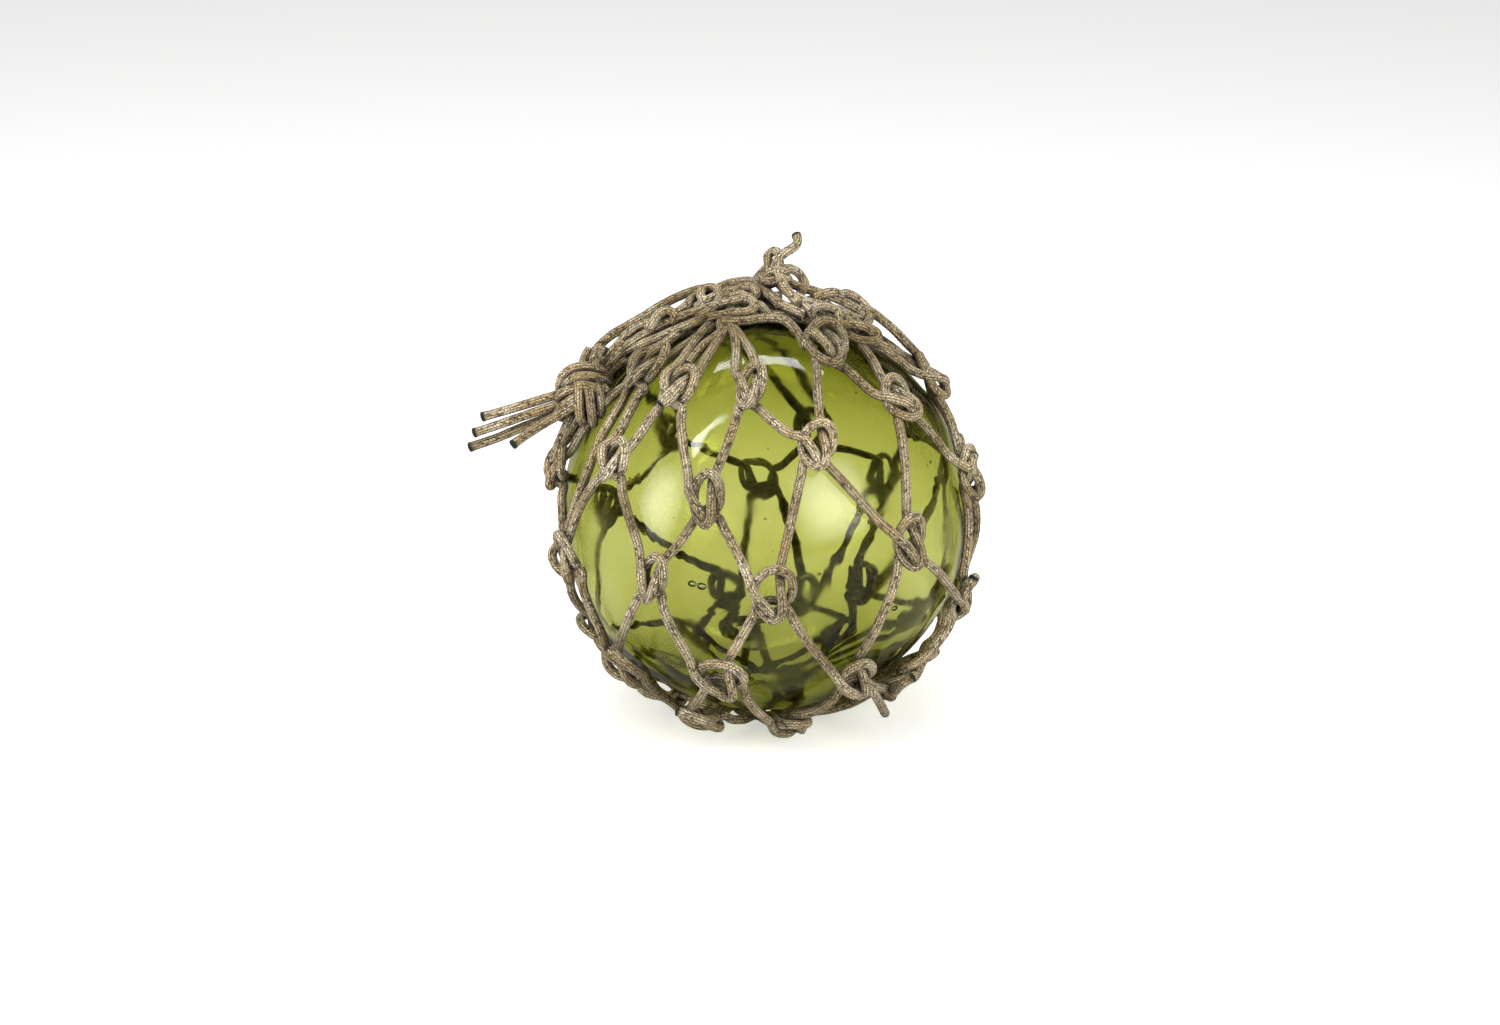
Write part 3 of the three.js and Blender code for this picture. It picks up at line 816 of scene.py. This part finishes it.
# Loose cords on the crown, in millimetres from the ball's middle: right, back, up
CROWN_CORDS: dict[str, Route] = {
    "outer_slack": [
        (-92.5, -5, 57), (-90, 2, 66), (-87.2, 6.6, 72.7), (-83.4, 13.1, 79), (-76.5, 18.7, 84.6),
        (-67.6, 20.8, 89.6), (-59.2, 23.9, 93.8), (-50.2, 28.5, 98.2), (-41.8, 32.2, 101.5),
        (-31.9, 34.5, 104.3), (-26, 34.5, 104.3), (-21, 33.2, 101.6)],
    "doubled": [
        (-90.5, -7, 56.5), (-86.5, 0, 64.7), (-81.4, 3.5, 72.2), (-74.5, 2.6, 78.9), (-65.6, 1.3, 86.7),
        (-55.7, 1.2, 93), (-44.8, 1.3, 98.3), (-31.9, 2.2, 103.2), (-19.6, 3.4, 106.5), (-10.1, 3.4, 108.6),
        (-6.2, 0.6, 108.6), (-5.2, -3.8, 107), (-7.7, -6.8, 105.5), (-14.6, -7.5, 104.7), (-24.5, -7.3, 103),
        (-32.9, -7.1, 100.3), (-41.8, -6.4, 96.4), (-51.7, -4.3, 91.4), (-61.6, -0.8, 85.9), (-70.5, 2.3, 80),
        (-77.5, 2.6, 74.6), (-84, -1, 66.5), (-89.5, -7.5, 57)],
    "nip": [
        (-88.5, -9, 58.5), (-84.5, -6, 70.5), (-79, -2.2, 78.9), (-72.5, 0.9, 84.8), (-67.1, 5.1, 90.2),
        (-61.6, 6.8, 93.7), (-55.7, 6.4, 95.9), (-49.7, 6.1, 99.2), (-43.8, 8.5, 99.9), (-38.9, 16.8, 100.8),
        (-35.4, 26.5, 102), (-32.4, 32.1, 103)],
    "nip_turn": [
        (-56.7, -7.1, 96.1), (-54.2, -4, 99.2), (-51.2, -0.2, 102.5), (-47.3, 1.9, 103.4),
        (-43.8, 1.4, 100.9), (-45.8, 0.4, 97)],
    "lump": [
        (-21, 34.1, 99), (-26, 21.4, 101.6), (-30.4, 18.8, 103.9), (-31.4, 24.8, 105.5), (-29, 30.5, 106),
        (-25, 28.9, 106.8), (-22.5, 22.1, 106.5), (-25, 17.9, 105.3), (-29.5, 16.6, 103.3),
        (-33.4, 17.6, 100.1)],
    "arch": [
        (-29, 31.8, 99.4), (-26, 34.3, 102.6), (-21, 36.5, 105.4), (-14.6, 37.2, 107.2), (-8.2, 36.6, 107.9),
        (-3.7, 32.5, 108.5), (-0.2, 23.9, 108.5), (2.7, 12.3, 108), (6.7, 0.3, 107.1)],
    "lump_strand": [
        (-15.6, 34.8, 104), (-18.6, 27.6, 105.2), (-21.5, 16.8, 105.8), (-23.5, 5.6, 105.7),
        (-27.5, -3.3, 104.2), (-31.9, -10.4, 103.6)],
    "curl": [
        (-20, 10.7, 104.4), (-17.6, 16.9, 106.5), (-14.1, 20.6, 108.2), (-9.7, 20, 109.4),
        (-5.7, 16.6, 110.1), (-4.2, 11, 109), (-7.2, 9.4, 107.5), (-12.1, 10.9, 108.5), (-16.6, 10.3, 107.1)],
    "third": [
        (-89, -8, 55.5), (-84.2, 1, 63.7), (-78.5, 4.2, 72), (-71.5, 4.6, 77), (-62.6, 2.2, 82.2),
        (-54.2, -0.6, 86.9), (-45.8, -1.6, 90.9), (-36.9, -1, 94.9), (-29, -0.2, 97.8), (-22, -0.3, 99.9),
        (-14.1, -1.2, 101.3)],
    "low_pair": [
        (-88.5, -8.5, 54), (-82.8, -4.5, 61.8), (-76.5, -1.5, 68.2), (-71.5, -1.6, 73), (-65.6, -1.9, 78.4),
        (-59.2, -3.5, 83.2), (-51.7, -6.2, 87.3)],
    "stem_left": [
        (5.7, 33.9, 114.4), (2.2, 36.2, 115.3), (-1.2, 36, 112.3), (-3.7, 32.2, 110.4), (-2.7, 23.2, 109.8),
        (1.7, 10.8, 108.5), (7.7, 1.7, 106.6), (13.6, -3, 105.1), (19.1, -5.5, 103.4)],
    "stem_loop": [
        (3.7, 16.8, 111), (2.2, 21, 115.4), (1.7, 26.4, 120.3), (1.7, 30.8, 122.5), (4.2, 31.6, 124.5),
        (6.7, 27.3, 124.8), (7.2, 21.3, 122.1), (6.7, 15.6, 117.9), (9.2, 9.3, 113.8), (12.6, 4.6, 110.3),
        (16.1, -1.1, 107.6)],
    "stem_core": [
        (5.4, 27.6, 121), (4.8, 24.4, 117.6), (4.6, 21.4, 114.6), (7.6, 16.4, 111.4), (12.2, 9, 109.4)],
    "stem_turn": [
        (-0.8, 27, 113.8), (-1.4, 21, 113.4), (1.6, 15.8, 113.8), (6.2, 14.6, 114.8), (10.6, 17.8, 114.6),
        (11.2, 23.4, 112.6), (6.8, 27.2, 111.4)],
    "stem_wrap": [
        (-0.2, 24.2, 111.6), (1.7, 18.6, 116.9), (5.7, 16.6, 119.2), (9.7, 18.9, 117.2), (10.1, 22.6, 113.7),
        (6.7, 26.4, 111.5), (2.7, 25.4, 112.2)],
    "upright": [
        (3.7, 17.4, 113.7), (4.7, 20.3, 119.2), (7.2, 23.4, 123.5), (10.1, 26.4, 125.4), (13.1, 30.1, 126.2),
        (15.6, 35.2, 127), (16.3, 39.2, 128.4), (15.6, 41.8, 130.1)],
    "right_loop": [
        (5.7, 22.7, 115), (9.7, 31.3, 115.6), (13.6, 36.9, 113.9), (17.1, 37.7, 111.4), (19.3, 33.2, 109.1),
        (20, 26.4, 107.7), (17.6, 18.5, 107.3)],
    "shoulder": [
        (5.7, 24.2, 111.6), (11.1, 26.5, 110.2), (17.6, 24.4, 108.3), (25, 22.8, 106.6), (32.4, 24, 103.8),
        (39.8, 27.2, 99.4), (45.8, 29, 95.5), (48.5, 25.3, 93.4), (46.8, 18.7, 93.4), (42.3, 12.7, 96.9),
        (35.4, 9.2, 101.2), (27.5, 7.3, 104.3), (20.5, 6.5, 106.4), (15.1, 8.1, 108.5)],
    "far": [
        (23.5, 16.3, 105.5), (28.5, 20, 106.2), (33.4, 23.4, 106.1), (37.4, 27, 103.9), (40.8, 31.7, 102.9),
        (45.3, 33.5, 100.1), (49.3, 32, 96.9), (51.7, 26.3, 94.6), (51.2, 16.2, 94), (48.3, 3.5, 94.8),
        (43.3, -7.2, 96.6)],
    "band": [
        (20.5, -3.5, 104.2), (25.5, 4, 104.2), (31.4, 7.6, 102.8), (37.4, 5.6, 99.9), (41.8, 0.6, 97),
        (45.8, -3.5, 93.7), (51.2, -3.6, 90.1), (58.2, 1.3, 85.1), (66.1, 10.2, 78.7), (73, 18.9, 71.9),
        (79, 24, 65.8)],
    "far_slack": [
        (48.3, 30.8, 96), (53.2, 24.1, 95.4), (58.2, 17.5, 93.2), (64.1, 14.8, 88.7), (69.5, 14, 83),
        (74.5, 17.6, 76.7), (79.9, 24.6, 67.7)],
    "hanger": [(10.6, 20.3, 108.1), (14.1, 12.9, 106.7), (18.6, 2.5, 105.7), (23, -5.3, 103.8)],
    "tied_down": [
        (-19.6, -1.4, 102.4), (-21.5, -10.4, 100.4), (-21, -17.2, 98.7), (-24, -21.7, 97.2),
        (-29, -25.9, 94.5), (-33.4, -30.8, 91), (-36.9, -35.7, 88)],
    "long_strand": [
        (-54.2, -7.3, 86.7), (-56.7, -18.6, 82.4), (-63.6, -25.6, 75.4), (-70.5, -34.1, 64.8),
        (-78.5, -38.8, 51.8), (-85.4, -42.5, 35.2), (-91.3, -42.2, 18.8), (-95.3, -40.8, 5.1)],
}
# The loose cord on the crown whose far end is cut off and burnt
CUT_CROWN_CORD = "upright"

# The cord of the bunch knot whose far end is cut off and burnt
CUT_BUNCH_CORD = "top_stub"

# Cords of the bunch knot, in millimetres from its middle: right, up, toward the front
BUNCH_CORDS: dict[str, Route] = {
    "core_1": [(13, 5, -5), (6, 7.5, -2.5), (-2, 7.5, -1), (-8.5, 4.5, -2), (-10, 0.5, -5)],
    "core_2": [(13, 0.5, -5), (6, 3, 1), (-1, 4, 3.5), (-7, 2.5, 2), (-10, -2, -3)],
    "core_3": [(12, -4, -5), (5, -1, 3), (-2, -0.5, 4), (-8, -2.5, 1), (-10, -6, -4)],
    "hood": [
        (13.3, 4.2, -2), (10.4, 7.4, 2.5), (6, 9.5, 4.5), (1.2, 9.9, 5.5), (-4.4, 8.7, 5), (-8.3, 6.1, 3),
        (-10.1, 2.4, 1), (-10.5, -1.3, -2), (-8.8, -4.6, -6), (-3.8, -6.3, -9), (3, -5.8, -10), (9, -3, -9),
        (12.6, 1, -6)],
    "upper_band": [
        (12.9, 1.2, 0), (10.3, 3.4, 6), (6.6, 4.7, 9), (2.1, 5.1, 10), (-1.8, 4.7, 9), (-4.6, 3.2, 6.5),
        (-5.6, 1, 3), (-4.4, -0.6, 0), (-0.6, -1.8, -4), (6.4, -1.3, -5), (11.6, 0.4, -3)],
    "lower_band": [
        (13.6, -6.2, 0), (11.8, -4.6, 5), (8.9, -2, 8.5), (5, 0, 10.5), (0.6, 0.8, 10), (-2.6, -0.2, 7),
        (-3.4, -2.2, 3), (0, -3.8, -1), (7.2, -5.4, -3), (12.2, -5.8, -2)],
    "root_1": [(-13.6, -4.3, 2), (-8.6, -2.7, 3), (-3.6, -1.4, 2), (1.7, -1, -2)],
    "root_2": [(-13.6, -9.3, 2.6), (-9, -7.3, 3.6), (-4, -5.2, 3), (1.2, -3.9, 0)],
    "root_3": [(-13.6, -13.8, -0.7), (-9, -11.2, 0.2), (-4, -8.4, 0.6), (1, -6.4, 0)],
    "root_4": [(-7.5, -12.1, 10.7), (-3.4, -9.4, 10), (0.6, -6.4, 8), (2.8, -3.4, 5)],
    "core_4": [(5, -6, -4), (-1.5, -6.6, -1.5), (-6.5, -7, -2), (-10.5, -8, -4.5)],
    "lobe_1": [
        (0.2, 4.1, 4), (-0.7, 0.1, 9), (-0.7, -4.8, 11), (-0.7, -10.2, 10.5), (-0.2, -14.7, 8),
        (1.2, -17.2, 3), (2.2, -14.7, -2), (1.7, -9.3, -4)],
    "lobe_2": [
        (2.7, 3.6, 4), (3.7, -0.3, 9.5), (4.7, -5.3, 11.5), (5.2, -10.7, 10.5), (5.7, -15.2, 7.5),
        (6.2, -17.7, 3), (6.2, -14.7, -2), (5.2, -8.8, -4)],
    "lobe_3": [
        (6.2, 2.6, 4), (8.2, -0.8, 9), (9.7, -5.3, 9.5), (10.1, -9.8, 7.5), (9.7, -13.2, 4), (8.7, -11.7, -1),
        (7.7, -6.8, -4)],
    "lobe_4": [(9.2, 1.1, 4), (12.1, -1.8, 7), (13.6, -4.8, 5.5), (12.6, -7.3, 1), (9.7, -5.8, -4)],
    "left_loop_1": [(1.7, -0.8, 3), (-1.7, -0.8, 7.5), (-5.7, -1.8, 9), (-9.2, -3.8, 7), (-11.1, -5.8, 3)],
    "left_loop_2": [
        (0.7, -3.8, 4), (-2.7, -5.3, 9), (-6.2, -7.8, 10), (-9.7, -10.7, 7), (-11.1, -13.2, 2),
        (-9.2, -14.7, -3), (-4.2, -12.2, -4)],
    "top_stub": [
        (9, 7, 2), (6.8, 10.5, 5), (6.6, 14.2, 6.5), (8.2, 17, 6.5), (10.4, 17.6, 6), (12.2, 16.6, 5.5)],
    "under": [(-3.2, -11.2, 1), (-5.7, -15.7, 2), (-8.7, -22.1, 1), (-11.6, -29.1, 0), (-13.6, -36, -2)],
    "gather_1": [(19.6, 18.5, 0), (15.6, 14, 1), (11.6, 8.6, 0), (7.7, 3.6, -3), (3.7, -1.3, -4)],
    "gather_4": [(17, 19.5, -2), (13, 15.6, -1.5), (9.6, 10.4, -2), (6, 4.6, -4)],
    "gather_2": [(21.5, 13.5, -2), (16.6, 10.5, -1), (12.6, 6.1, -1), (7.7, 0.6, -3)],
    "gather_3": [(3.7, 18.5, -4), (1.7, 14.5, -2), (0.7, 9.6, -1), (1.7, 2.6, -3)],
}

# The four free ends, in millimetres from the bunch knot's middle: right, up, toward the front
TAILS: list[Route] = [
    [(-12.5, -4, 2), (-24, -7.6, 2.2), (-36, -11.2, 2.4), (-48, -14.6, 2.6)],
    [(-12.5, -9, 2.6), (-26, -13.5, 2.8), (-40, -18.4, 3), (-52, -22.4, 3.2)],
    [(-12.5, -13.4, -0.6), (-27, -18.8, -1.4), (-41, -24.6, -2.4), (-54.5, -29.2, -3.4)],
    [(-6.5, -11.5, 10.6), (-15, -16.6, 11.6), (-24.5, -22.6, 13), (-32.5, -28.4, 14.6)],
]


@dataclass
class Bunch:
    """The knot on the left shoulder that the loose cords of the crown end in."""

    ball: Ball
    place: tuple[float, float, float] = (-81.5, 37.5, 3.1)
    lean: float = -20.0

    def __post_init__(self) -> None:
        """Finds the knot's middle and its turn."""
        around, up, lift = self.place
        self.middle = self.ball.over(compass(around, up), lift)
        self.turn = np.array(Matrix.Rotation(math.radians(self.lean), 3, "X"))

    def at(self, place: tuple[float, float, float]) -> np.ndarray:
        """A point by its way right, up and toward the front from the knot's middle, in millimetres."""
        right, up, toward = place
        return self.middle + self.turn @ np.array([right, -toward, up]) * MM

    def route(self, places: Route) -> np.ndarray:
        """The points of one cord."""
        return np.array([self.at(p) for p in places])


# The glass


@dataclass
class GlassShell:
    """The blown ball: an outer and an inner skin with air inside, and bubbles in its wall."""

    ball: Ball
    wall: float = 4.5 * MM
    swell: float = 0.35 * MM
    bubbles: int = 70
    # Shares of the wall gained near the crown and low in front, and lost at the low sides and the foot
    crown_gain: float = 0.8
    low_gain: float = 0.45
    side_loss: float = 0.4
    foot_loss: float = 0.5

    def thickness(self, u: Vector) -> float:
        """The wall's thickness in one direction, as a share of the usual one."""
        up = math.degrees(math.asin(max(-1.0, min(1.0, u.z))))
        side = smooth_step(math.degrees(math.asin(min(1.0, abs(u.x)))), 28, 58)
        gained = self.crown_gain * smooth_step(up, 15, 65)
        gained += self.low_gain * smooth_step(-up, 8, 52) * (1 - side)
        lost = self.side_loss * side * smooth_step(-up, -5, 30) + self.foot_loss * smooth_step(-up, 55, 88)
        return 1 + gained - lost

    def skin(self, bm: bmesh.types.BMesh, inset: float, fineness: int, inward: bool, seed: float) -> None:
        """Adds one closed skin.

        Args:
            bm: The mesh it is added to.
            inset: How far inside the outer surface it lies.
            fineness: The number of times a regular solid is divided.
            inward: Whether its faces point to the ball's middle.
            seed: What sets its unevenness.
        """
        made = bmesh.ops.create_icosphere(bm, subdivisions=fineness, radius=1.0)
        for v in made["verts"]:
            u = v.co.normalized()
            blown = noise.noise(u * 1.7 + Vector((seed, 0, 0)))
            blown += 0.5 * noise.noise(u * 4.2 + Vector((0, seed, 0)))
            reach = 1 / math.hypot(math.hypot(u.x, u.y) / self.ball.radius, u.z / self.ball.half_height)
            sway = self.swell * blown if inward else -self.swell * abs(blown) * 0.4
            v.co = Vector(self.ball.middle) + u * (reach - inset * self.thickness(u) + sway)
        if inward:
            faces = {f for v in made["verts"] for f in v.link_faces}
            bmesh.ops.reverse_faces(bm, faces=list(faces))

    def bubble(self, bm: bmesh.types.BMesh, direction: np.ndarray, radius: float,
               chance: random.Random) -> None:
        """Adds one small bubble of air in the wall."""
        made = bmesh.ops.create_icosphere(bm, subdivisions=2, radius=1.0)
        reach = self.ball.over(direction, 0.0) - unit(direction) * self.wall * chance.uniform(0.35, 0.6)
        flat = Vector(unit(direction)).to_track_quat("Z", "Y").to_matrix()
        long = radius * chance.uniform(1.0, 1.6)
        for v in made["verts"]:
            shape = Vector((v.co.x * long, v.co.y * radius, v.co.z * min(radius, 1.5 * MM)))
            v.co = Vector(reach) + flat @ shape
        faces = {f for v in made["verts"] for f in v.link_faces}
        bmesh.ops.reverse_faces(bm, faces=list(faces))

    def build(self, finish: bpy.types.Material) -> bpy.types.Object:
        """Makes the shell.

        Args:
            finish: The glass.

        Returns:
            The piece.
        """
        bm = bmesh.new()
        self.skin(bm, 0.0, 6, False, 3.1)
        self.skin(bm, self.wall, 6, True, 8.4)
        chance = random.Random(11)
        for around, up, size in ((-20.4, -1.5, 1.7), (-17.7, -2.0, 1.9), (40.0, -13.1, 1.5)):
            self.bubble(bm, compass(around, up), size * MM, chance)
        for _ in range(self.bubbles):
            place = compass(chance.uniform(-180, 180), math.degrees(math.asin(chance.uniform(-0.95, 0.95))))
            self.bubble(bm, place, chance.choice((0.25, 0.3, 0.35, 0.5, 0.8)) * MM, chance)
        mesh = bpy.data.meshes.new("glass_shell")
        bm.to_mesh(mesh)
        bm.free()
        mesh.materials.append(finish)
        mesh.polygons.foreach_set("use_smooth", [True] * len(mesh.polygons))
        return put("glass_shell", mesh)


# Studio


@dataclass
class Studio:
    """The pale floor, the soft lights and the camera."""

    ball: Ball
    elevation: float = 20.0
    lens: float = 85.0
    sensor: float = 36.0
    # The photograph's width in pixels, and what a pixel covers at the ball
    photo_width: int = 1500
    pixel: float = 0.495 * MM
    # How many pixels right and up of the ball's middle the camera aims
    aim: tuple[float, float] = (-14.5, -1.0)
    # The middle of a fading light against a plain one, and half the floor's width
    peak: float = 2.6
    floor_half: float = 6.0

    def camera(self) -> None:
        """Stands the camera where the photograph was taken from."""
        data = bpy.data.cameras.new("camera")
        data.lens = self.lens
        data.sensor_width = self.sensor
        far = self.pixel * self.photo_width * self.lens / self.sensor
        e = math.radians(self.elevation)
        back = Vector((0, -math.cos(e), math.sin(e)))
        up = Vector((0, math.sin(e), math.cos(e)))
        camera = put("camera", data)
        right_by, up_by = self.aim
        target = Vector(self.ball.middle) + Vector((right_by, 0, 0)) * self.pixel + up * up_by * self.pixel
        camera.location = target + back * far
        camera.rotation_mode = "QUATERNION"
        camera.rotation_quaternion = (-back).to_track_quat("-Z", "Y")
        data.clip_start = 0.05
        data.clip_end = 50.0
        bpy.context.scene.camera = camera

    def softbox(self, name: str, direction: tuple[float, float, float], distance: float,
                size: tuple[float, float], power: float, soft: bool = False, mirrored: bool = True) -> None:
        """Hangs one soft light that faces the ball.

        Args:
            name: Its name.
            direction: The way from the ball to it.
            distance: How far off it is, in metres.
            size: Its width and height.
            power: Its power in watts.
            soft: Whether it fades toward its edges.
            mirrored: Whether the glass shows it.
        """
        data = bpy.data.lights.new(name, "AREA")
        data.shape = "RECTANGLE"
        data.size, data.size_y = size
        data.energy = power
        if soft:
            self.fade(data)
        lamp = put(name, data)
        way = Vector(direction).normalized()
        lamp.location = Vector(self.ball.middle) + way * distance
        lamp.rotation_mode = "QUATERNION"
        lamp.rotation_quaternion = (-way).to_track_quat("-Z", "Y")
        lamp.visible_glossy = mirrored

    def fade(self, data: bpy.types.AreaLight) -> None:
        """Lets a light fade from its middle to its edges."""
        data.use_nodes = True
        n = Nodes(data.node_tree)
        lamp = data.node_tree.nodes["Emission"]
        across = n.add("ShaderNodeSeparateXYZ")
        n.link(n.add("ShaderNodeNewGeometry").outputs["Parametric"], across.inputs[0])
        bright: object = self.peak
        for socket in across.outputs[:2]:
            bright = n.math("MULTIPLY", n.arch(socket, 2.0, clamp=True), bright)
        n.link(bright, lamp.inputs["Strength"])

    def lights(self) -> None:
        """Hangs the lights and sets the pale surroundings."""
        self.softbox("left_box", (-0.855, -0.443, 0.28), 1.25, (0.6, 0.95), 6.0, soft=True)
        self.softbox("right_box", (0.596, -0.712, 0.39), 1.25, (1.0, 1.05), 11, soft=True)
        self.softbox("top_strip", (0.0, 0.43, 0.90), 1.3, (1.2, 0.15), 5.5)
        self.softbox("key_strip", (-0.50, -0.31, 0.81), 1.25, (0.11, 0.75), 2.0, soft=True)
        self.softbox("ceiling", (-0.25, -0.45, 1.0), 2.4, (3.2, 3.2), 46, mirrored=False)
        world = bpy.data.worlds.new("pale_room")
        world.use_nodes = True
        n = Nodes(world.node_tree)
        room = world.node_tree.nodes["Background"]
        n.fill(room, Color=(1.0, 1.0, 1.0, 1.0))
        n.link(n.span(n.mirrored(), 0.0, 1.0, 0.15, 0.03), room.inputs["Strength"])
        bpy.context.scene.world = world
        bpy.context.scene.view_settings.view_transform = "Standard"

    def floor(self) -> None:
        """Lays the pale floor, which the glass mirrors less than it shows through."""
        mesh = bpy.data.meshes.new("floor")
        half = self.floor_half
        corners = [(-half, -half, 0), (half, -half, 0), (half, half, 0), (-half, half, 0)]
        mesh.from_pydata(corners, [], [(0, 1, 2, 3)])
        material = bpy.data.materials.new("pale_floor")
        material.use_nodes = True
        n = Nodes(material.node_tree)
        shader = material.node_tree.nodes["Principled BSDF"]
        tone = n.noise(n.add("ShaderNodeTexCoord").outputs["Object"], 3.0)
        ray = n.add("ShaderNodeLightPath").outputs
        plain = n.mix(tone, (0.74, 0.74, 0.73), (0.78, 0.78, 0.77))
        darker = n.math("MULTIPLY", n.mirrored(), 0.6)
        n.link(n.mix(darker, plain, (0.0, 0.0, 0.0)), shader.inputs["Base Color"])
        n.fill(shader, Roughness=0.8, Specular_IOR_Level=0.1, Emission_Color=(1.0, 1.0, 1.0, 1.0))
        seen = n.math("MAXIMUM", ray["Is Camera Ray"], ray["Is Transmission Ray"])
        n.link(n.math("MULTIPLY", seen, 0.5), shader.inputs["Emission Strength"])
        mesh.materials.append(material)
        put("floor", mesh)


# The whole float


@dataclass
class GlassFloat:
    """Builds every piece of the float in order."""

    ball: Ball
    tree: CordTree
    cord_finish: bpy.types.Material
    glass_finish: bpy.types.Material

    def tails(self) -> None:
        bunch = Bunch(self.ball)
        for i, places in enumerate(TAILS):
            name = f"tail_end_{i + 1}"
            route = bunch.route(places)
            piece = self.tree.sweep(name, [Cord(route, cut_end=True)], self.cord_finish,
                                    step=0.7 * MM, sides=18, seed=60 + i)
            settle(piece, f"tail_{i + 1}")

    def net(self) -> None:
        """Makes the net, its ring at the crown and its draw cord."""
        net = CordNet(self.ball)
        right = [net.cord(c, Fall.RIGHT) for c in range(net.columns)]
        left = [net.cord(c, Fall.LEFT) for c in range(net.columns)]
        settle(self.tree.sweep("net_right_fall", right, self.cord_finish, seed=1), "net")
        settle(self.tree.sweep("net_left_fall_front", left[:5], self.cord_finish, seed=11), "net")
        settle(self.tree.sweep("net_left_fall_back", left[5:], self.cord_finish, seed=17), "net")
        ends = [Cord(self.ball.middle + np.array(places) * MM, cut_end=True) for places in SHORT_ENDS]
        settle(self.tree.sweep("net_short_ends", ends, self.cord_finish, seed=24), "net")
        settle(self.tree.sweep("crown_ring", [net.crown_loop()], self.cord_finish, seed=31), "net")
        foot = self.tree.sweep("draw_cord", [net.foot_loop()], self.cord_finish, sides=16, seed=33)
        for v in foot.data.vertices:
            v.co.z = max(v.co.z, 0.0)
        settle(foot, "foot_cord")

    def crown(self) -> None:
        """Makes the loose cords on the crown and the bunch knot."""
        middle = self.ball.middle
        loose = []
        for name, places in CROWN_CORDS.items():
            loose.append(Cord(middle + np.array(places) * MM, cut_end=name == CUT_CROWN_CORD))
        settle(self.tree.sweep("crown_cords", loose, self.cord_finish, seed=36), "net")
        bunch = Bunch(self.ball)
        knotted = []
        for name, places in BUNCH_CORDS.items():
            knotted.append(Cord(bunch.route(places), cut_end=name == CUT_BUNCH_CORD))
        settle(self.tree.sweep("bunch_knot", knotted, self.cord_finish, seed=80), "net")

    def glass(self) -> None:
        """Makes the hollow ball."""
        settle(GlassShell(self.ball).build(self.glass_finish), "glass_ball")


def main() -> None:
    logging.basicConfig(level=logging.INFO, format="%(name)s %(message)s")
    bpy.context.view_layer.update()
    ball = Ball.from_frame()
    studio = Studio(ball)
    studio.camera()
    finish = BraidFinish().build(braid_group(), grime_group())
    float_ball = GlassFloat(ball, CordTree(), finish, GlassFinish().build())
    float_ball.tails()
    float_ball.net()
    float_ball.crown()
    float_ball.glass()
    studio.floor()
    studio.lights()


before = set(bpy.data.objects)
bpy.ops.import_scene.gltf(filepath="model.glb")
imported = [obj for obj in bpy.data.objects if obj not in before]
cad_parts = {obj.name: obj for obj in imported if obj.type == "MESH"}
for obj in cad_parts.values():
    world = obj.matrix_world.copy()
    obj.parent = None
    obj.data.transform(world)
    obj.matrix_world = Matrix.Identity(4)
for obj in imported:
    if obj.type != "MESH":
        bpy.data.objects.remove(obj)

if __name__ == "__main__":
    main()
